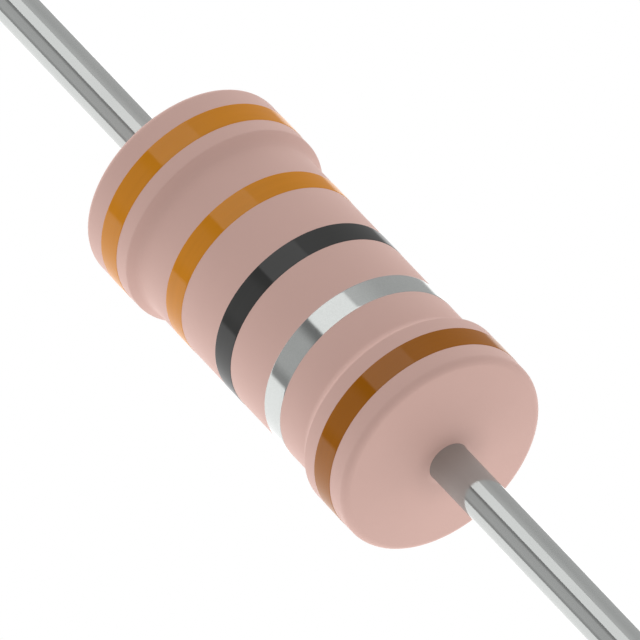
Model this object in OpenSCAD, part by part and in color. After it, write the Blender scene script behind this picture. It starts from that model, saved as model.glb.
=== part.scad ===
// Axial film resistor with a dog-bone coating, pressed end caps and five colour bands.
// Millimetres. The wire axis is X, the middle of the body is the origin, Z is up.
// The first digit band is at the -X end and the tolerance band is at the +X end.

/* [Leads] */
// Diameter of the tinned lead wire
lead_d = 0.8; // [0.6:0.05:1.0]
// Distance between the two cut tips, the inner width of a taped strip
lead_span = 52; // [26:0.5:70]
// Bevel that the cutter leaves round each tip
tip_bevel = 0.06; // [0.02:0.01:0.12]
// Height and width of the flare that the butt weld leaves on the cap
weld_flare = 0.14; // [0.06:0.01:0.2]
// How much the weld thickens the tapered root in radius, where the wire comes out of the coating
root_upset = 0.005; // [0.003:0.001:0.015]
// Length outside the coating over which the root tapers down to the wire
root_taper = 0.12; // [0.08:0.01:0.3]

/* [Ceramic core] */
// Diameter of the ceramic rod
core_d = 3.2; // [2.8:0.05:3.8]
// Length of the ceramic rod
core_len = 7.5; // [6.8:0.1:9.0]
// How much further the rod's bevel reaches than the fillet in the cap
bevel_clearance = 0.04; // [0.01:0.01:0.1]

/* [Resistive film] */
// Thickness of the film on the rod
film_t = 0.04; // [0.03:0.005:0.08]
// Turns of the spiral that is cut to trim the value
trim_turns = 4; // [2:1:6]
// Width of the spiral cut, along the axis
trim_kerf = 0.16; // [0.08:0.02:0.3]
// Uncut film between each cap's mouth and the spiral
trim_margin = 0.55; // [0.3:0.05:0.9]

/* [End caps] */
// Sheet thickness of the drawn caps
cap_wall = 0.25; // [0.15:0.01:0.35]
// Depth of the cap's bore, which is how far it is pressed over the rod
cap_depth = 0.85; // [0.7:0.05:1.2]
// Fillet at the bottom of the cap's bore
cap_inner_round = 0.1; // [0.05:0.01:0.2]
// Lead-in bevel at the cap's mouth
cap_mouth_bevel = 0.07; // [0.03:0.01:0.12]

/* [Coating] */
// Thickness over the film, between the caps
coat_mid_t = 0.3; // [0.2:0.01:0.45]
// Thickness over the caps' sides
coat_cap_t = 0.22; // [0.15:0.01:0.35]
// Thickness over the caps' faces, at the rim
coat_end_t = 0.29; // [0.15:0.01:0.4]
// Slope of the shallow conical end, in degrees
coat_slope = 5.5; // [3:0.5:10]
// Radius of the meniscus where the lacquer climbs the wire
meniscus = 0.3; // [0.1:0.05:0.5]
// Slope at which the meniscus ends on the wire, in degrees
meniscus_turn = 30; // [15:5:60]
// Rounding between the side and the conical end
coat_rim = 0.2; // [0.1:0.01:0.3]
// Rounding at the top of the shoulder
shoulder_round = 0.15; // [0.08:0.01:0.25]
// Rounding at the foot of the shoulder
shoulder_foot = 0.06; // [0.03:0.01:0.15]
// How far the foot of the shoulder lies inboard of the cap's mouth
shoulder_lap = 0.14; // [0.06:0.01:0.3]

/* [Colour bands] */
// Width of each painted band
band_w = 0.51; // [0.3:0.01:0.6]
// Thickness of the paint
band_t = 0.02; // [0.015:0.005:0.04]
// Distance between the three bands on the waist
band_pitch = 1.62; // [1.0:0.005:1.8]
// How far the middle of each outer band lies outboard of the cap's mouth
band_past_mouth = 0.605; // [0.55:0.005:0.65]
// How far the whole marking sits towards the tolerance end
band_shift = 0.04; // [-0.1:0.005:0.1]

/* [Hidden] */
$fn = 96;

// Segments in each drawn arc
ARC_STEPS = 10;
// Steps in a turn of the spiral cut, and across its width
TRIM_STEPS = 24;
TRIM_ARC_STEPS = 2;
// How far the spiral cutter stands out of the film on both sides
TRIM_OVERCUT = 0.04;

// Colours as the photograph shows them
COAT_PINK = [0.80, 0.64, 0.60];
ORANGE = [0.72, 0.47, 0.13];
BLACK = [0.22, 0.23, 0.23];
SILVER = [0.66, 0.69, 0.68];
BROWN = [0.56, 0.34, 0.12];
TINNED = [0.68, 0.69, 0.68];
CAP_STEEL = [0.62, 0.62, 0.60];
CERAMIC = [0.93, 0.92, 0.88];
FILM = [0.35, 0.33, 0.31];

// Radii, from the core outwards
core_r = core_d / 2;
film_r = core_r + film_t;
cap_r = film_r + cap_wall;
lead_r = lead_d / 2;
root_r = lead_r + root_upset;
waist_r = film_r + coat_mid_t;
bulge_r = cap_r + coat_cap_t;

// Places along the axis, from the middle outwards
core_end_x = core_len / 2;
core_bevel = cap_inner_round + bevel_clearance;
cap_mouth_x = core_end_x - cap_depth;
cap_face_x = core_end_x + cap_wall;
cap_corner = cap_inner_round + cap_wall;
rim_x = cap_face_x + coat_end_t;
tip_x = lead_span / 2;
trim_len = 2 * (cap_mouth_x - trim_margin);
trim_angle = 360 * trim_kerf * trim_turns / trim_len;

// The shoulder turns up from the waist by the foot's arc and back by the top's arc
shoulder_h = bulge_r - waist_r;
shoulder_arcs = shoulder_round + shoulder_foot;
shoulder_turn = acos(1 - min(1, shoulder_h / shoulder_arcs));
shoulder_foot_x = cap_mouth_x - shoulder_lap;
shoulder_top_x = shoulder_foot_x + shoulder_arcs * sin(shoulder_turn);

// The end's cone leaves the rim's arc and runs into the hollow arc of the meniscus
rim_arc_x = rim_x - coat_rim;
rim_arc_r = bulge_r - coat_rim;
cone_x = rim_arc_x + coat_rim * cos(coat_slope);
cone_r = rim_arc_r + coat_rim * sin(coat_slope);
meniscus_r = root_r + meniscus * sin(meniscus_turn);
meniscus_foot_r = meniscus_r - meniscus * sin(coat_slope);
meniscus_x = cone_x + (cone_r - meniscus_foot_r) * tan(coat_slope) + meniscus * cos(coat_slope);
coat_root_x = meniscus_x - meniscus * cos(meniscus_turn);

// The root's taper is one cone from the weld's flare, through the coating, to the wire
root_end_x = coat_root_x + root_taper;
flare_end_x = cap_face_x + weld_flare;
flare_end_r = lead_r + root_upset * (root_end_x - flare_end_x) / root_taper;

// The outer bands sit on the flats over the caps
band_outer_x = cap_mouth_x + band_past_mouth;

// Points [x, r] along an arc about [x, r], from angle a to angle b above the axis
function arc(x, r, radius, a, b) =
    [for (i = [0:ARC_STEPS])
        let (t = a + (b - a) * i / ARC_STEPS)
            [x + radius * cos(t), r + radius * sin(t)]];

// The same outline seen from the other end, in reverse order
function mirrored(points) = [for (i = [len(points) - 1:-1:0]) [-points[i][0], points[i][1]]];

// Turns an outline of [x, r] points about the X axis
module turned(points) {
    rotate([0, 90, 0])
        rotate_extrude()
            polygon([for (p = points) [p[1], p[0]]]);
}

// The wire's root inside the coating: the weld's concave flare, then the taper as far as the meniscus
function root_outline() = concat(
    arc(flare_end_x, flare_end_r + weld_flare, weld_flare, 180, 270),
    [[coat_root_x, root_r]]);

// Outside of the coating from the waist to the lead, on the +X side
function coat_outside() = concat(
    arc(shoulder_foot_x, waist_r + shoulder_foot, shoulder_foot, -90, shoulder_turn - 90),
    arc(shoulder_top_x, bulge_r - shoulder_round, shoulder_round, 90 + shoulder_turn, 90),
    arc(rim_arc_x, rim_arc_r, coat_rim, 90, coat_slope),
    arc(meniscus_x, meniscus_r, meniscus, 180 + coat_slope, 180 + meniscus_turn));

// Inside of the coating from the film to the lead, on the +X side
function coat_inside() = concat(
    [[cap_mouth_x + cap_mouth_bevel, film_r], [cap_mouth_x, film_r + cap_mouth_bevel]],
    [[cap_mouth_x, cap_r]],
    arc(cap_face_x - cap_corner, cap_r - cap_corner, cap_corner, 90, 0),
    root_outline());

// Solid ceramic rod with bevelled ends
module ceramic_core() {
    half = [[core_end_x - core_bevel, core_r], [core_end_x, core_r - core_bevel], [core_end_x, 0]];
    color(CERAMIC)
        turned(concat(mirrored(half), half));
}

// Points [y, z] on a circle, spread over the sector that the spiral cut takes out of a cross-section
function trim_sector(radius) =
    [for (i = [0:TRIM_ARC_STEPS])
        let (t = trim_angle * i / TRIM_ARC_STEPS)
            [radius * cos(t), radius * sin(t)]];

// Path of the spiral cut: its sector of the film's cross-section, wound along the axis
module trim_cutter() {
    inner = trim_sector(core_r - TRIM_OVERCUT);
    outer = trim_sector((film_r + TRIM_OVERCUT) / cos(trim_angle / (2 * TRIM_ARC_STEPS)));
    rotate([0, 90, 0])
        linear_extrude(height = trim_len, center = true, twist = 360 * trim_turns,
            slices = trim_turns * TRIM_STEPS, $fn = TRIM_STEPS)
            polygon(concat(inner, [for (i = [TRIM_ARC_STEPS:-1:0]) outer[i]]));
}

// Thin sleeve of resistive film, cut by the trimming spiral
module resistive_film() {
    end_x = core_end_x - core_bevel;
    color(FILM)
        difference() {
            turned([[-end_x, core_r], [end_x, core_r], [end_x, film_r], [-end_x, film_r]]);
            trim_cutter();
        }
}

// Drawn cup on the +X end of the rod
module end_cap() {
    bore = concat(
        [[cap_mouth_x + cap_mouth_bevel, film_r]],
        arc(core_end_x - cap_inner_round, film_r - cap_inner_round, cap_inner_round, 90, 0),
        [[core_end_x, 0]]);
    skin = concat(
        [[cap_face_x, 0]],
        arc(cap_face_x - cap_corner, cap_r - cap_corner, cap_corner, 0, 90),
        [[cap_mouth_x, cap_r], [cap_mouth_x, film_r + cap_mouth_bevel]]);
    turned(concat(bore, skin));
}

module right_end_cap() {
    color(CAP_STEEL)
        end_cap();
}

module left_end_cap() {
    color(CAP_STEEL)
        mirror([1, 0, 0])
            end_cap();
}

// Wire on the +X side, from its welded root to its cut tip
module lead() {
    turned(concat(
        [[cap_face_x, 0]],
        root_outline(),
        [[root_end_x, lead_r], [tip_x - tip_bevel, lead_r], [tip_x, lead_r - tip_bevel], [tip_x, 0]]));
}

module right_lead() {
    color(TINNED)
        lead();
}

module left_lead() {
    color(TINNED)
        mirror([1, 0, 0])
            lead();
}

// Lacquer coat that wraps the caps and the film and closes round each wire
module coating() {
    outside = concat(mirrored(coat_outside()), coat_outside());
    inside = concat(mirrored(coat_inside()), coat_inside());
    color(COAT_PINK)
        turned(concat(outside, [for (i = [len(inside) - 1:-1:0]) inside[i]]));
}

// Painted ring with its middle at x, on a coating of radius r
module band(x, r, paint) {
    color(paint)
        translate([x + band_shift, 0, 0])
            turned([[-band_w / 2, r], [band_w / 2, r], [band_w / 2 - band_t, r + band_t],
                [band_t - band_w / 2, r + band_t]]);
}

ceramic_core();
resistive_film();
left_end_cap();
right_end_cap();
left_lead();
right_lead();
coating();
band(-band_outer_x, bulge_r, ORANGE);  // band_1_first_digit
band(-band_pitch, waist_r, ORANGE);  // band_2_second_digit
band(0, waist_r, BLACK);  // band_3_third_digit
band(band_pitch, waist_r, SILVER);  // band_4_multiplier
band(band_outer_x, bulge_r, BROWN);  // band_5_tolerance
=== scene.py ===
"""Looks, studio and camera of the axial resistor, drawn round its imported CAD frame.

The coating, the five colour bands and both wires are redrawn as fine turned surfaces. The pieces
sealed inside keep their CAD meshes and get finishes. In the classes all lengths are millimetres
and all angles degrees; the meshes are in metres.
"""
import logging
import math
from dataclasses import dataclass
from enum import Enum
from typing import Any, Iterable, Sequence

import bpy
import numpy as np
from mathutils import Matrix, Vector


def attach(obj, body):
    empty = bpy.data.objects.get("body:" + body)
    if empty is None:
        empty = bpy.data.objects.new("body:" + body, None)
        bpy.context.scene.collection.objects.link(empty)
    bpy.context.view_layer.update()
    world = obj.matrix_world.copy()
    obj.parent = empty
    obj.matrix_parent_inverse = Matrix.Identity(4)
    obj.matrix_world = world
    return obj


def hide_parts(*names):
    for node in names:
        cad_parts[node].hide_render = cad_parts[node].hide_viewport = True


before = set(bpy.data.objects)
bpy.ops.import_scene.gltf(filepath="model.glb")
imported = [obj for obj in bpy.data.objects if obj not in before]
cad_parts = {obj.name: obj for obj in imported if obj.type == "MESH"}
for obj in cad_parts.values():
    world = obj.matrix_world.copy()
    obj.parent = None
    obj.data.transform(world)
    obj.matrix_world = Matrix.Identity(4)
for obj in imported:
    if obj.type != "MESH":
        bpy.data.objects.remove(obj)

LOG = logging.getLogger("axial_resistor")
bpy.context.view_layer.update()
MM = 0.001
ON_AXIS_MM = 1e-6
SAME_POINT_MM = 1e-7
BLACK = (0.0, 0.0, 0.0)
WHITE = (1.0, 1.0, 1.0)

Pair = tuple[float, float]
Triple = tuple[float, float, float]
Profile = np.ndarray
Value = float | Sequence[float] | "Wire"


class End(Enum):
    """The two ends of the resistor, by the sign of x."""

    LEFT = -1
    RIGHT = 1


class Slot(Enum):
    """Names of the material slots."""

    LACQUER = "lacquer"
    ORANGE = "orange_paint"
    BLACK = "black_paint"
    SILVER = "silver_paint"
    BROWN = "brown_paint"
    WIRE = "tinned_wire"
    CAP = "cap_steel"
    CERAMIC = "ceramic"
    FILM = "film"


# Shader graphs


class Wire:
    """An output socket that can be used in sums, differences and products."""

    def __init__(self, graph: "Graph", socket: bpy.types.NodeSocket) -> None:
        """Wrap a socket of the graph."""
        self.graph = graph
        self.socket = socket

    def _math(self, operation: str, *values: Value) -> "Wire":
        """Return the result of a Math node."""
        return self.graph.add("ShaderNodeMath", {"operation": operation}, *values)

    def __add__(self, other: Value) -> "Wire":
        """Return self + other."""
        return self._math("ADD", self, other)

    def __sub__(self, other: Value) -> "Wire":
        """Return self - other."""
        return self._math("SUBTRACT", self, other)

    def __rsub__(self, other: Value) -> "Wire":
        """Return other - self."""
        return self._math("SUBTRACT", other, self)

    def __mul__(self, other: Value) -> "Wire":
        """Return self * other."""
        return self._math("MULTIPLY", self, other)

    def __rmul__(self, other: Value) -> "Wire":
        """Return other * self."""
        return self._math("MULTIPLY", other, self)

    def size(self) -> "Wire":
        """Return self without its sign."""
        return self._math("ABSOLUTE", self)

    def angle(self, other: "Wire") -> "Wire":
        """Return the angle in degrees of a slope that rises by self over the length other."""
        return self._math("ARCTAN2", self, other) * math.degrees(1.0)

    def about(self, mean: float, swing: float) -> "Wire":
        """Return mean less half the swing where self is 0, and plus half of it where self is 1."""
        return self * swing + (mean - swing / 2.0)

    def step(self, low: float, high: float) -> "Wire":
        """Return 0 below low, 1 above high, and a smooth rise between them."""
        return self.graph.add(
            "ShaderNodeMapRange", {"interpolation_type": "SMOOTHSTEP"}, self, low, high, 0.0, 1.0
        )

    def clamp(self) -> "Wire":
        """Return self held between 0 and 1."""
        return self.graph.add("ShaderNodeClamp", {}, self, 0.0, 1.0)


class Graph:
    """One node tree, of a material or of the world."""

    def __init__(self, tree: bpy.types.NodeTree) -> None:
        """Take the tree and clear it."""
        self.tree = tree
        tree.nodes.clear()

    def node(
        self, kind: str, settings: dict[str, Any], *values: Value, **named: Value
    ) -> bpy.types.Node:
        """Make a node, with its settings first and then its inputs.

        Args:
            kind: The node's type.
            settings: Attributes that are set before any input.
            values: Inputs in order, each a constant or a Wire.
            named: Inputs by name.

        Returns:
            The new node.
        """
        node = self.tree.nodes.new(kind)
        for name, setting in settings.items():
            setattr(node, name, setting)
        sockets = [socket for socket in node.inputs if socket.enabled]
        pairs = list(zip(sockets, values))
        pairs += [(node.inputs[name], value) for name, value in named.items()]
        for socket, value in pairs:
            self.feed(socket, value)
        return node

    def feed(self, socket: bpy.types.NodeSocket, value: Value) -> None:
        """Link a Wire to a socket, or set a constant on it.

        Args:
            socket: The input.
            value: A Wire, a number, a vector, or a colour with or without its alpha.
        """
        if isinstance(value, Wire):
            self.tree.links.new(value.socket, socket)
        elif socket.type == "RGBA" and len(value) == 3:
            socket.default_value = (*value, 1.0)
        else:
            socket.default_value = value

    def add(
        self,
        kind: str,
        settings: dict[str, Any],
        *values: Value,
        output: int | str = 0,
        **named: Value,
    ) -> Wire:
        """Make a node and return one of its outputs.

        Args:
            kind: The node's type.
            settings: Attributes that are set before any input.
            values: Inputs in order.
            output: Which enabled output to return, by place or by name.
            named: Inputs by name.

        Returns:
            The output, as a Wire.
        """
        node = self.node(kind, settings, *values, **named)
        if isinstance(output, str):
            return Wire(self, node.outputs[output])
        return Wire(self, [socket for socket in node.outputs if socket.enabled][output])

    def vector_math(self, operation: str, *values: Value, **more: Any) -> Wire:
        """Return the result of a Vector Math node; more is as for add."""
        return self.add("ShaderNodeVectorMath", {"operation": operation}, *values, **more)

    def axes(self, vector: Wire) -> tuple[Wire, ...]:
        """Return the x, y and z of a vector."""
        parts = self.node("ShaderNodeSeparateXYZ", {}, vector).outputs
        return tuple(Wire(self, part) for part in parts)

    def blend(self, factor: Value, low: Value, high: Value) -> Wire:
        """Return the colour low where factor is 0 and high where it is 1."""
        settings = {"data_type": "RGBA", "clamp_factor": True}
        return self.add("ShaderNodeMix", settings, factor, low, high)

    def object_place(self) -> Wire:
        """Return the place in the object, in millimetres."""
        place = self.add("ShaderNodeTexCoord", {}, output="Object")
        return self.vector_math("SCALE", place, Scale=1.0 / MM)

    def stretched(self, place: Wire, scale: Triple) -> Wire:
        """Return the place with each axis scaled."""
        return self.vector_math("MULTIPLY", place, scale)

    def noise(self, place: Wire, scale: float, detail: float = 3.0, rough: float = 0.55) -> Wire:
        """Return fractal noise between 0 and 1 at the given scale per millimetre."""
        return self.add(
            "ShaderNodeTexNoise", {}, Vector=place, Scale=scale, Detail=detail, Roughness=rough
        )

    def bump(
        self, height: Wire, depth: float, strength: float = 1.0, under: Wire | None = None
    ) -> Wire:
        """Bend the normal by a height.

        Args:
            height: A pattern between 0 and 1.
            depth: The length that a height of 1 stands for.
            strength: How much of the bend is used.
            under: A normal that is already bent, or None for the surface's own.

        Returns:
            The bent normal.
        """
        named = {"Strength": strength, "Distance": depth * MM, "Height": height}
        if under is not None:
            named["Normal"] = under
        return self.add("ShaderNodeBump", {}, **named)


# Finishes


@dataclass(frozen=True)
class Finish:
    """A finish that dresses a piece; each kind writes its own graph.

    In all of them spread is the share by which the colour varies, swing is how far the roughness
    varies in all, a scale is per millimetre, and a stretch scales a pattern along each axis.
    """

    name: str
    colour: Triple

    def build(self) -> bpy.types.Material:
        """Make the material.

        Returns:
            A node material with one Principled BSDF.
        """
        material = bpy.data.materials.new(self.name)
        material.use_nodes = True
        graph = Graph(material.node_tree)
        shader = graph.node("ShaderNodeBsdfPrincipled", {})
        self.paint(graph, shader)
        graph.node("ShaderNodeOutputMaterial", {}, Wire(graph, shader.outputs[0]))
        return material

    def paint(self, graph: Graph, shader: bpy.types.Node) -> None:
        """Set the shader's sockets; the finishes below do this."""
        raise NotImplementedError

    def shades(self, graph: Graph, factor: Wire, spread: float) -> Wire:
        """Vary the finish's colour.

        Args:
            graph: The material's graph.
            factor: A pattern between 0 and 1.
            spread: The share by which the colour is darker at 0 and lighter at 1.

        Returns:
            The colour, as a Wire.
        """
        dark = tuple(c * (1.0 - spread) for c in self.colour)
        light = tuple(min(1.0, c * (1.0 + spread)) for c in self.colour)
        return graph.blend(factor, dark, light)


@dataclass(frozen=True)
class MattLacquer(Finish):
    """Dip-coated matt lacquer, even in colour with a very fine grain."""

    roughness: float = 0.62
    swing: float = 0.08
    gloss: float = 0.3
    spread: float = 0.035
    cloud_scale: float = 0.9
    cloud_share: float = 0.75
    grain_scale: float = 26.0
    grain_mm: float = 0.004
    grain_strength: float = 0.5
    flow_scale: float = 1.3
    flow_stretch: Triple = (0.6, 1.0, 1.0)
    flow_mm: float = 0.006
    # Painted shade beside the wire: the line it darkens round, where it fades, and how dark it
    # gets.
    shade_line: Triple = (0.0, 0.125, -0.216)
    shade_fade_r: Pair = (0.3, 1.0)
    shade_depth: float = 0.11

    def paint(self, graph: Graph, shader: bpy.types.Node) -> None:
        """Cloudy tone, fine grain, the slow flow of the dip, and painted shade beside the wire.

        The painted shade darkens the colour by the share shade_depth round a line along x, set a
        little off the wire's axis, and fades out between the two distances of shade_fade_r from it.

        Args:
            graph: The material's graph.
            shader: Its Principled BSDF.
        """
        place = graph.object_place()
        clouds = graph.noise(place, self.cloud_scale, detail=2.0)
        grain = graph.noise(place, self.grain_scale, detail=2.0)
        flow = graph.noise(graph.stretched(place, self.flow_stretch), self.flow_scale, detail=1.0)
        tone = (clouds * self.cloud_share + grain * (1.0 - self.cloud_share)).clamp()
        # Painted shade round the wire's root: the colour is blended towards black near a line along
        # x.
        across = graph.stretched(place, (0.0, 1.0, 1.0))
        radius = graph.vector_math("DISTANCE", across, self.shade_line, output="Value")
        painted_shade = self.shade_depth * (1.0 - radius.step(*self.shade_fade_r))
        colour = graph.blend(painted_shade, self.shades(graph, tone, self.spread), BLACK)
        graph.feed(shader.inputs["Base Color"], colour)
        graph.feed(shader.inputs["Roughness"], grain.about(self.roughness, self.swing))
        graph.feed(shader.inputs["Specular IOR Level"], self.gloss)
        waves = graph.bump(flow, self.flow_mm)
        relief = graph.bump(grain, self.grain_mm, self.grain_strength, waves)
        graph.feed(shader.inputs["Normal"], relief)


@dataclass(frozen=True)
class MarkingPaint(Finish):
    """Glossy marking paint rolled on in a ring, a touch uneven in cover."""

    roughness: float = 0.525
    swing: float = 0.05
    gloss: float = 0.36
    gloss_roughness: float = 0.055
    spread: float = 0.06
    streak_stretch: Triple = (9.0, 0.8, 0.8)
    ripple_scale: float = 1.6
    ripple_mm: float = 0.0025

    def paint(self, graph: Graph, shader: bpy.types.Node) -> None:
        """Streaks of the roller in the matt colour, a slow ripple in it, and a gloss over both.

        Args:
            graph: The material's graph.
            shader: Its Principled BSDF.
        """
        place = graph.object_place()
        streaks = graph.noise(graph.stretched(place, self.streak_stretch), 1.0, detail=2.0)
        ripple = graph.noise(place, self.ripple_scale, detail=1.0)
        graph.feed(shader.inputs["Base Color"], self.shades(graph, streaks, self.spread))
        graph.feed(shader.inputs["Roughness"], streaks.about(self.roughness, self.swing))
        graph.feed(shader.inputs["Specular IOR Level"], 0.0)
        graph.feed(shader.inputs["Coat Weight"], self.gloss)
        graph.feed(shader.inputs["Coat Roughness"], self.gloss_roughness)
        graph.feed(shader.inputs["Normal"], graph.bump(ripple, self.ripple_mm))


@dataclass(frozen=True)
class MetallicPaint(Finish):
    """Silver paint of fine flakes in a clear binder."""

    roughness: float = 0.085
    swing: float = 0.05
    metal: float = 0.6
    edge: float = 0.8
    gloss: float = 0.05
    spread: float = 0.05
    flake_scale: float = 60.0
    ripple_scale: float = 1.6
    ripple_mm: float = 0.0025

    def paint(self, graph: Graph, shader: bpy.types.Node) -> None:
        """Flakes as small cells that differ in tone, and a slow ripple.

        Args:
            graph: The material's graph.
            shader: Its Principled BSDF.
        """
        place = graph.object_place()
        flakes = graph.add(
            "ShaderNodeTexVoronoi",
            {"feature": "F1"},
            Vector=place,
            Scale=self.flake_scale,
            output="Color",
        )
        tone = graph.add("ShaderNodeSeparateColor", {}, flakes)
        ripple = graph.noise(place, self.ripple_scale, detail=1.0)
        graph.feed(shader.inputs["Base Color"], self.shades(graph, tone, self.spread))
        graph.feed(shader.inputs["Metallic"], self.metal)
        graph.feed(shader.inputs["Specular IOR Level"], self.gloss)
        graph.feed(shader.inputs["Specular Tint"], (self.edge,) * 3)
        graph.feed(shader.inputs["Roughness"], tone.about(self.roughness, self.swing))
        graph.feed(shader.inputs["Normal"], graph.bump(ripple, self.ripple_mm))


@dataclass(frozen=True)
class DrawnMetal(Finish):
    """Bright metal with fine lines along x, as drawing through a die leaves them."""

    roughness: float = 0.06
    swing: float = 0.05
    metal: float = 0.48
    edge: float = 0.75
    gloss: float = 0.05
    spread: float = 0.05
    line_stretch: Triple = (0.12, 14.0, 14.0)
    lines_mm: float = 0.0003
    cloud_stretch: Triple = (0.5, 1.2, 1.2)
    # Painted shade on the wire near the coat: its share, where it fades along x, and its warm tint.
    root_shade: float = 0.23
    root_shade_x: Pair = (4.5, 5.3)
    root_shade_colour: Triple = (0.1, 0.04, 0.0)

    def paint(self, graph: Graph, shader: bpy.types.Node) -> None:
        """Long thin lines in the gloss, cloudy tinning, and painted shade, tinted warm, near the
        coat.

        The painted shade tints the metal towards root_shade_colour by the share root_shade, and
        fades out between the two distances of root_shade_x from the middle of the part.

        Args:
            graph: The material's graph.
            shader: Its Principled BSDF.
        """
        place = graph.object_place()
        lines = graph.noise(graph.stretched(place, self.line_stretch), 1.0)
        clouds = graph.noise(graph.stretched(place, self.cloud_stretch), 1.0, detail=2.0)
        reach = graph.axes(place)[0].size()
        # Painted shade, tinted warm, where the wire leaves the coat.
        root_shade = self.root_shade * (1.0 - reach.step(*self.root_shade_x))
        colour = graph.blend(root_shade, self.shades(graph, clouds, self.spread), self.root_shade_colour)
        graph.feed(shader.inputs["Base Color"], colour)
        graph.feed(shader.inputs["Metallic"], self.metal)
        graph.feed(shader.inputs["Specular IOR Level"], self.gloss)
        graph.feed(shader.inputs["Specular Tint"], (self.edge,) * 3)
        graph.feed(shader.inputs["Roughness"], clouds.about(self.roughness, self.swing))
        graph.feed(shader.inputs["Normal"], graph.bump(lines, self.lines_mm))


@dataclass(frozen=True)
class FiredCeramic(Finish):
    """White fired alumina with a dry, sandy surface."""

    roughness: float = 0.75
    spread: float = 0.06
    sand_scale: float = 18.0
    sand_detail: float = 4.0
    sand_rough: float = 0.7
    sand_mm: float = 0.012

    def paint(self, graph: Graph, shader: bpy.types.Node) -> None:
        """Sandy grain in tone and height.

        Args:
            graph: The material's graph.
            shader: Its Principled BSDF.
        """
        place = graph.object_place()
        sand = graph.noise(place, self.sand_scale, self.sand_detail, self.sand_rough)
        graph.feed(shader.inputs["Base Color"], self.shades(graph, sand, self.spread))
        graph.feed(shader.inputs["Roughness"], self.roughness)
        graph.feed(shader.inputs["Normal"], graph.bump(sand, self.sand_mm))


@dataclass(frozen=True)
class MetalFilm(Finish):
    """Dark resistive film, largely metallic, with a slight drift in tone along the rod."""

    roughness: float = 0.32
    swing: float = 0.1
    metal: float = 0.85
    spread: float = 0.2
    drift_stretch: Triple = (0.7, 0.2, 0.2)
    speckle_scale: float = 30.0

    def paint(self, graph: Graph, shader: bpy.types.Node) -> None:
        """Slow drift along x and a sputtered speckle.

        Args:
            graph: The material's graph.
            shader: Its Principled BSDF.
        """
        place = graph.object_place()
        drift = graph.noise(graph.stretched(place, self.drift_stretch), 1.0, detail=1.0)
        speckle = graph.noise(place, self.speckle_scale, detail=2.0)
        tone = (drift + speckle) * 0.5
        graph.feed(shader.inputs["Base Color"], self.shades(graph, tone, self.spread))
        graph.feed(shader.inputs["Metallic"], self.metal)
        graph.feed(shader.inputs["Roughness"], speckle.about(self.roughness, self.swing))


# Turned surfaces


def arc(x: float, r: float, radius: float, start: float, stop: float, steps: int) -> Profile:
    """Points on an arc: (x + radius cos t, r + radius sin t), t from start to stop.

    Args:
        x: Centre along the axis.
        r: Centre's distance from the axis.
        radius: The arc's radius.
        start: First angle, in degrees.
        stop: Last angle, in degrees.
        steps: How many spans the arc has.

    Returns:
        An array of [x, r] rows.
    """
    t = np.radians(np.linspace(start, stop, steps + 1))
    return np.column_stack((x + radius * np.cos(t), r + radius * np.sin(t)))


def line(a: Sequence[float], b: Sequence[float], steps: int) -> Profile:
    """Points on a straight line: a + (b - a) s, s from 0 to 1.

    Args:
        a: First [x, r].
        b: Last [x, r].
        steps: How many spans the line has.

    Returns:
        An array of [x, r] rows.
    """
    first, last = np.asarray(a, float), np.asarray(b, float)
    s = np.linspace(0.0, 1.0, steps + 1)[:, None]
    return first + (last - first) * s


def joined(parts: Iterable[Profile]) -> Profile:
    """Put profiles end to end, without the points that two of them share.

    Args:
        parts: The profiles, in order.

    Returns:
        An array of [x, r] rows.
    """
    points = np.vstack(list(parts))
    gaps = np.linalg.norm(np.diff(points, axis=0), axis=1)
    return points[np.r_[True, gaps > SAME_POINT_MM]]


def mirrored(profile: Profile) -> Profile:
    """Return the profile seen from the other end, in reverse order."""
    return profile[::-1] * (-1.0, 1.0)


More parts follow.
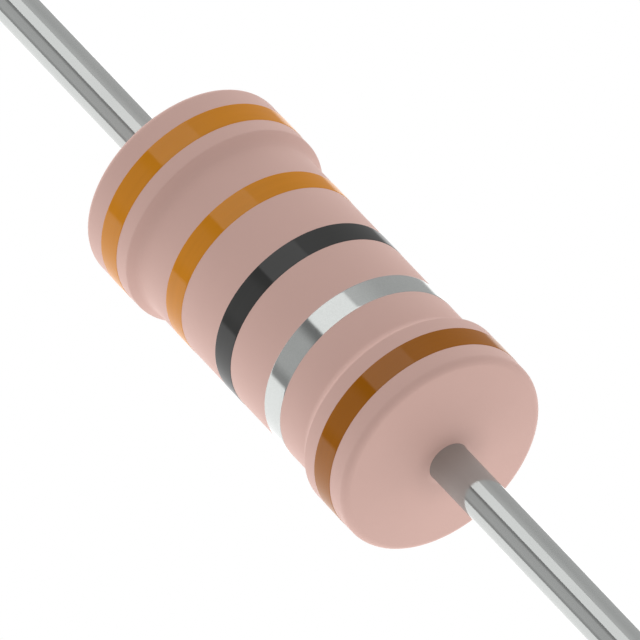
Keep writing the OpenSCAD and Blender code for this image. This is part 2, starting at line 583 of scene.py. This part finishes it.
@dataclass
class Turned:
    """A profile turned about the x axis.

    The surface is P(u, v) = (x(u), r(u) cos v, r(u) sin v), where (x, r) runs along the profile
    and v goes once round. A closed profile gives a ring. An open one must start and end on the
    axis, where it closes in a pole.
    """

    name: str
    profile: Profile
    around: int = 256
    crease: float = 40.0

    def build(self) -> bpy.types.Object:
        """Make the mesh object.

        Returns:
            The object, at the origin, with faces that look outward.
        """
        ring = self.profile[0, 1] > ON_AXIS_MM
        body = self.profile if ring else self.profile[1:-1]
        x, r = body[:, :1], body[:, 1:]
        v = np.linspace(0.0, 2.0 * math.pi, self.around, endpoint=False)
        along = np.repeat(x, self.around, axis=1)
        points = np.stack((along, r * np.cos(v), r * np.sin(v)), axis=-1).reshape(-1, 3)
        index = np.arange(len(points)).reshape(-1, self.around)
        if ring:
            index = np.vstack((index, index[:1]))
        a, b = index[:-1], index[1:]
        quads = np.stack((a, b, np.roll(b, -1, axis=1), np.roll(a, -1, axis=1)), axis=-1)
        faces = quads.reshape(-1, 4).tolist()
        if not ring:
            first, last = index[0], index[-1]
            start, stop = len(points), len(points) + 1
            fan = np.column_stack((np.full(self.around, start), first, np.roll(first, -1)))
            faces += fan.tolist()
            fan = np.column_stack((np.full(self.around, stop), np.roll(last, -1), last))
            faces += fan.tolist()
            tips = self.profile[[0, -1], 0]
            points = np.vstack((points, np.column_stack((tips, np.zeros(2), np.zeros(2)))))
        return self._mesh(points * MM, faces)

    def _mesh(self, points: np.ndarray, faces: list[list[int]]) -> bpy.types.Object:
        """Put points and faces in a smooth mesh.

        Args:
            points: Places in metres, one a row.
            faces: The points of each face.

        Returns:
            The object, with normals that look outward and edges sharp past the crease.
        """
        mesh = bpy.data.meshes.new(self.name)
        mesh.from_pydata(points.tolist(), [], faces)
        mesh.validate()
        mesh.update()
        if self._volume(mesh) < 0.0:
            mesh.flip_normals()
        mesh.polygons.foreach_set("use_smooth", np.ones(len(mesh.polygons), bool))
        mesh.set_sharp_from_angle(angle=math.radians(self.crease))
        item = bpy.data.objects.new(self.name, mesh)
        bpy.context.scene.collection.objects.link(item)
        return item

    @staticmethod
    def _volume(mesh: bpy.types.Mesh) -> float:
        """Work out the signed volume: a sixth of the sum of a . (b x c) over the triangles.

        Args:
            mesh: A closed mesh.

        Returns:
            The volume, below zero where the normals look inward.
        """
        mesh.calc_loop_triangles()
        corners = np.empty(len(mesh.loop_triangles) * 3, np.int32)
        mesh.loop_triangles.foreach_get("vertices", corners)
        places = np.empty(len(mesh.vertices) * 3, np.float32)
        mesh.vertices.foreach_get("co", places)
        triangles = places.reshape(-1, 3)[corners].reshape(-1, 3, 3)
        a, b, c = triangles.transpose(1, 0, 2).astype(float)
        return float(np.einsum("ij,ij->", a, np.cross(b, c)) / 6.0)


def dress(piece: bpy.types.Object, finish: Finish) -> None:
    """Give a piece its finish.

    Args:
        piece: The object.
        finish: What it is finished with.
    """
    piece.data.materials.clear()
    piece.data.materials.append(finish.build())


def stand_in(piece: bpy.types.Object, node: str, finish: Finish) -> None:
    """Put a drawn piece in the place of a CAD node, on the root body.

    Args:
        piece: The drawn object.
        node: The CAD node that it replaces.
        finish: What it is finished with.
    """
    dress(piece, finish)
    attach(piece, "root")
    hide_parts(node)
    LOG.info("%s stands for %s with %d faces", piece.name, node, len(piece.data.polygons))


# The resistor


@dataclass(frozen=True)
class CoatEnd:
    """What differs between the coat's ends: the shoulder's start, the end face and its rim."""

    foot_x: float
    rim_x: float
    rim_arc: float


@dataclass
class Coating:
    """Dog-bone lacquer coat, hollow where the caps and the film are."""

    left: CoatEnd = CoatEnd(2.61, 4.265, 0.15)
    right: CoatEnd = CoatEnd(2.69, 4.27, 0.16)
    waist_r: float = 1.94
    bulge_r: float = 2.11
    foot_arc: float = 0.24
    top_arc: float = 0.06
    shoulder_turn: float = 43.0
    slope: float = 5.5
    meniscus: float = 0.3
    meniscus_turn: float = 30.0
    film_r: float = 1.64
    cap_r: float = 1.89
    mouth_x: float = 2.9
    mouth_bevel: float = 0.07
    cap_face_x: float = 4.0
    cap_corner: float = 0.35
    root_r: float = 0.405
    flare_r: float = 0.4185
    flare: float = 0.14
    around: int = 320
    colour: Triple = (0.62, 0.4, 0.35)

    def face(self, end: CoatEnd) -> Profile:
        """The end from the rim to the wire, on the right.

        It is the rim's arc, a shallow cone that falls away from the wire by the slope, and the
        hollow arc of the meniscus.

        Args:
            end: The sizes of this end.

        Returns:
            An array of [x, r] rows.
        """
        slope, turn = math.radians(self.slope), math.radians(self.meniscus_turn)
        rim_x, rim_r = end.rim_x - end.rim_arc, self.bulge_r - end.rim_arc
        cone_x = rim_x + end.rim_arc * math.cos(slope)
        cone_r = rim_r + end.rim_arc * math.sin(slope)
        centre_r = self.root_r + self.meniscus * math.sin(turn)
        foot_r = centre_r - self.meniscus * math.sin(slope)
        foot_x = cone_x + (cone_r - foot_r) * math.tan(slope)
        centre_x = foot_x + self.meniscus * math.cos(slope)
        start, stop = 180.0 + self.slope, 180.0 + self.meniscus_turn
        return joined(
            (
                arc(rim_x, rim_r, end.rim_arc, 90.0, self.slope, steps=20),
                line((cone_x, cone_r), (foot_x, foot_r), steps=16),
                arc(centre_x, centre_r, self.meniscus, start, stop, steps=10),
            )
        )

    def outside(self, end: CoatEnd) -> Profile:
        """The coat's outer surface from the middle of the waist to the wire, on the right.

        The shoulder is a hollow arc, a straight slope at the shoulder's turn and a round arc,
        and the slope is as long as the rest of the rise needs.

        Args:
            end: The sizes of this end.

        Returns:
            An array of [x, r] rows.
        """
        turn, arcs = math.radians(self.shoulder_turn), self.foot_arc + self.top_arc
        rise = self.bulge_r - self.waist_r
        slope = (rise - arcs * (1.0 - math.cos(turn))) / math.sin(turn)
        top_x = end.foot_x + arcs * math.sin(turn) + slope * math.cos(turn)
        foot_r, top_r = self.waist_r + self.foot_arc, self.bulge_r - self.top_arc
        start, stop = self.shoulder_turn - 90.0, 90.0 + self.shoulder_turn
        return joined(
            (
                line((0.0, self.waist_r), (end.foot_x, self.waist_r), steps=20),
                arc(end.foot_x, foot_r, self.foot_arc, -90.0, start, steps=12),
                arc(top_x, top_r, self.top_arc, stop, 90.0, steps=12),
                line((top_x, self.bulge_r), (end.rim_x - end.rim_arc, self.bulge_r), steps=10),
                self.face(end),
            )
        )

    def inside(self) -> Profile:
        """The coat's cavity from the wire back to the middle, on the right.

        Returns:
            An array of [x, r] rows.
        """
        corner, bevel = self.cap_corner, self.mouth_bevel
        corner_x, corner_r = self.cap_face_x - corner, self.cap_r - corner
        flare_x, flare_r = self.cap_face_x + self.flare, self.flare_r + self.flare
        return joined(
            (
                arc(flare_x, flare_r, self.flare, 270.0, 180.0, steps=8),
                arc(corner_x, corner_r, corner, 0.0, 90.0, steps=8),
                line((self.mouth_x, self.cap_r), (self.mouth_x, self.film_r + bevel), steps=1),
                line((self.mouth_x + bevel, self.film_r), (0.0, self.film_r), steps=4),
            )
        )

    def build(self) -> None:
        """Draw the coat and dress it."""
        right = joined((self.outside(self.right), self.inside()))
        left = joined((self.outside(self.left), self.inside()))
        profile = joined((right, mirrored(left)))
        piece = Turned("lacquer_coat", profile[:-1], self.around).build()
        stand_in(piece, "coating", MattLacquer("matt_lacquer", self.colour))


@dataclass(frozen=True)
class BandSpec:
    """Where one painted band sits, and what it is painted with."""

    node: str
    x: float
    r: float
    slot: Slot
    finish: Finish


@dataclass
class Marking:
    """The five painted bands, read from the left end."""

    width: float = 0.51
    thickness: float = 0.005
    flatness: int = 40
    steps: int = 40
    pitch: float = 1.62
    outer: float = 3.505
    shift: float = 0.04
    waist_r: float = 1.94
    bulge_r: float = 2.11
    orange: Triple = (0.585, 0.22, 0.014)
    black: Triple = (0.044, 0.044, 0.043)
    silver: Triple = (0.45, 0.465, 0.455)
    brown: Triple = (0.322, 0.106, 0.006)

    def bands(self) -> list[BandSpec]:
        """The bands in reading order.

        Returns:
            Two orange, one black, one silver and one brown band.
        """
        orange_1 = MarkingPaint("orange_marking_1", self.orange)
        orange_2 = MarkingPaint("orange_marking_2", self.orange)
        black = MarkingPaint("black_marking", self.black)
        silver = MetallicPaint("silver_marking", self.silver)
        brown = MarkingPaint("brown_marking", self.brown)
        end, waist = self.bulge_r, self.waist_r
        return [
            BandSpec("band_1_first_digit", -self.outer, end, Slot.ORANGE, orange_1),
            BandSpec("band_2_second_digit", -self.pitch, waist, Slot.ORANGE, orange_2),
            BandSpec("band_3_third_digit", 0.0, waist, Slot.BLACK, black),
            BandSpec("band_4_multiplier", self.pitch, waist, Slot.SILVER, silver),
            BandSpec("band_5_tolerance", self.outer, end, Slot.BROWN, brown),
        ]

    def profile(self, x: float, r: float) -> Profile:
        """Cross-section of a band: flat on the coat, with edges drawn down by the wet paint's skin.

        The top is r + thickness (1 - |s|^flatness), s from -1 to 1 across the width. The paint
        is drawn as thin as it looks; the CAD band is thicker so that it prints.

        Args:
            x: Middle of the band.
            r: The coat's radius under it.

        Returns:
            An array of [x, r] rows, once round the cross-section.
        """
        half = self.width / 2.0
        s = np.sin(np.linspace(-0.5 * math.pi, 0.5 * math.pi, self.steps + 1))
        height = self.thickness * (1.0 - np.abs(s) ** self.flatness)
        top = np.column_stack((x + s * half, r + height))
        return np.vstack((top, line((x + half, r), (x - half, r), steps=4)[1:-1]))

    def build(self) -> None:
        """Draw and dress each band."""
        for spec in self.bands():
            profile = self.profile(spec.x + self.shift, spec.r)
            piece = Turned(f"{spec.node}_paint", profile).build()
            stand_in(piece, spec.node, spec.finish)


@dataclass
class Lead:
    """One wire from its welded root to its cut tip."""

    end: End
    wire_r: float = 0.4
    root_r: float = 0.405
    flare_r: float = 0.4185
    face_x: float = 4.0
    flare: float = 0.14
    root_x: float = 4.463
    taper: float = 0.12
    tip_x: float = 26.0
    tip_bevel: float = 0.06
    around: int = 128
    colour: Triple = (0.45, 0.463, 0.455)

    def profile(self) -> Profile:
        """From the axis at the weld, over the flare and along the wire, to the axis at the tip.

        Returns:
            An array of [x, r] rows, for the wire on the right.
        """
        flare_x, flare_r = self.face_x + self.flare, self.flare_r + self.flare
        straight_x, tip_r = self.tip_x - self.tip_bevel, self.wire_r - self.tip_bevel
        wire_x = self.root_x + self.taper
        return joined(
            (
                line((self.face_x, 0.0), (self.face_x, flare_r), steps=3),
                arc(flare_x, flare_r, self.flare, 180.0, 270.0, steps=10),
                line((flare_x, self.flare_r), (self.root_x, self.root_r), steps=2),
                line((wire_x, self.wire_r), (straight_x, self.wire_r), steps=60),
                line((straight_x, self.wire_r), (self.tip_x, tip_r), steps=1),
                line((self.tip_x, tip_r), (self.tip_x, 0.0), steps=3),
            )
        )

    def build(self) -> None:
        """Draw the wire on its side and dress it."""
        side = self.end.name.lower()
        profile = self.profile() if self.end is End.RIGHT else mirrored(self.profile())
        piece = Turned(f"{side}_wire", profile, self.around).build()
        stand_in(piece, f"{side}_lead", DrawnMetal(f"tinned_{side}", self.colour))


@dataclass
class SealedParts:
    """The CAD pieces inside the coat, which keep their meshes."""

    ceramic: Triple = (0.86, 0.84, 0.8)
    film: Triple = (0.1, 0.095, 0.09)
    steel: Triple = (0.55, 0.55, 0.53)
    steel_roughness: float = 0.25
    steel_lines_mm: float = 0.002

    def cap(self, name: str) -> DrawnMetal:
        """The finish of a cap: bare drawn steel, without the painted shade of the wires.

        Args:
            name: The finish's name.

        Returns:
            The finish.
        """
        return DrawnMetal(
            name,
            self.steel,
            roughness=self.steel_roughness,
            lines_mm=self.steel_lines_mm,
            metal=1.0,
            root_shade=0.0,
        )

    def build(self) -> None:
        """Dress each node."""
        for node, finish, slot in (
            ("ceramic_core", FiredCeramic("alumina", self.ceramic), Slot.CERAMIC),
            ("resistive_film", MetalFilm("metal_film", self.film), Slot.FILM),
            ("left_end_cap", self.cap("plated_cap_left"), Slot.CAP),
            ("right_end_cap", self.cap("plated_cap_right"), Slot.CAP),
        ):
            dress(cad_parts[node], finish)
            LOG.info("%s keeps its CAD mesh", node)


# Studio and camera


@dataclass
class Studio:
    """White surroundings whose light comes mostly from below and the sides, with a strip overhead.

    A matt surface sees a gradient: ambient, plus the slope along each axis, plus a little more
    towards both ends of the part. A mirror sees panels instead, placed by the angle about x from
    straight up, positive towards +y. Each pair of angles is where one change of brightness
    starts and where it ends.
    """

    ambient: float = 1.046
    slope: Triple = (-0.399, 0.224, -0.587)
    ends: float = 0.42
    lamp: float = 2.05
    strip_start: Pair = (-34.9, -31.9)
    strip_stop: Pair = (11.6, 15.6)
    front_level: float = 0.63
    front_top: Pair = (-54.0, -39.0)
    front_fall: float = 0.44
    front_foot: Pair = (-102.0, -86.0)
    back_level: float = 0.92
    back_fall: float = 0.32
    back_foot: Pair = (16.0, 56.0)
    meeting: Pair = (-20.0, 0.0)
    floor_front: Pair = (-110.5, -104.5)
    floor_back: Pair = (117.0, 129.0)

    def build(self) -> None:
        """Write the world: white to the camera, panels to gloss, a gradient to matt surfaces."""
        world = bpy.data.worlds.new("studio")
        world.use_nodes = True
        bpy.context.scene.world = world
        graph = Graph(world.node_tree)
        direction = graph.add("ShaderNodeTexCoord", {}, output="Generated")
        rays = graph.node("ShaderNodeLightPath", {})
        soft = graph.vector_math("DOT_PRODUCT", direction, self.slope, output="Value")
        along = graph.axes(direction)[0]
        soft = soft + self.ambient + along * along * self.ends
        panels = self.panels(graph, direction)
        glossy = Wire(graph, rays.outputs["Is Glossy Ray"])
        camera = Wire(graph, rays.outputs["Is Camera Ray"])
        level = soft + (panels - soft) * glossy
        level = level + (1.0 - level) * camera
        background = graph.add("ShaderNodeBackground", {}, WHITE, level)
        graph.node("ShaderNodeOutputWorld", {}, background)

    def panels(self, graph: Graph, direction: Wire) -> Wire:
        """The brightness that a mirror sees.

        Args:
            graph: The world's graph.
            direction: The way the ray goes.

        Returns:
            The brightness: a strip light overhead, a wall in front (below zero degrees) and one
            at the back that change with height, and a white floor.
        """
        _, y, z = graph.axes(direction)
        turn = y.angle(z)
        strip = turn.step(*self.strip_start) * (1.0 - turn.step(*self.strip_stop))
        front = self.front_level * (1.0 - turn.step(*self.front_top))
        front = front - self.front_fall * (1.0 - turn.step(*self.front_foot))
        back = self.back_level - self.back_fall * turn.step(*self.back_foot)
        wall = front + (back - front) * turn.step(*self.meeting)
        floor = (1.0 - turn.step(*self.floor_front)) + turn.step(*self.floor_back)
        level = wall + (self.lamp - wall) * strip
        return level + (self.lamp - level) * floor.clamp()


@dataclass
class Camera:
    """The photograph's view, through a long lens."""

    lens: float = 1690.0
    sensor: float = 36.0
    pixels: int = 640
    px_per_mm: float = 55.75
    towards: Triple = (0.6085, -0.3974, 0.6870)
    body_px: Pair = (-7.57, 1.4)
    clip_m: Pair = (0.01, 5.0)

    def build(self) -> None:
        """Place the camera so that the body's middle lies body_px right of and above centre."""
        data = bpy.data.cameras.new("photo_camera")
        data.lens, data.sensor_width = self.lens, self.sensor
        data.clip_start, data.clip_end = self.clip_m
        camera = bpy.data.objects.new("photo_camera", data)
        bpy.context.scene.collection.objects.link(camera)
        away = Vector(self.towards).normalized()
        turn = (-away).to_track_quat("-Z", "Y")
        right, up = turn @ Vector((1.0, 0.0, 0.0)), turn @ Vector((0.0, 1.0, 0.0))
        distance = self.lens / self.sensor * self.pixels / self.px_per_mm
        aside = (right * -self.body_px[0] + up * -self.body_px[1]) / self.px_per_mm
        camera.location = (away * distance + aside) * MM
        camera.rotation_mode = "QUATERNION"
        camera.rotation_quaternion = turn
        bpy.context.scene.camera = camera
        bpy.context.scene.view_settings.view_transform = "Standard"


def main() -> None:
    """Build each sub-assembly in order, then the studio and the camera."""
    logging.basicConfig(level=logging.INFO, format="%(message)s")
    SealedParts().build()
    Coating().build()
    Marking().build()
    for end in End:
        Lead(end).build()
    Studio().build()
    Camera().build()


if __name__ == "__main__":
    main()
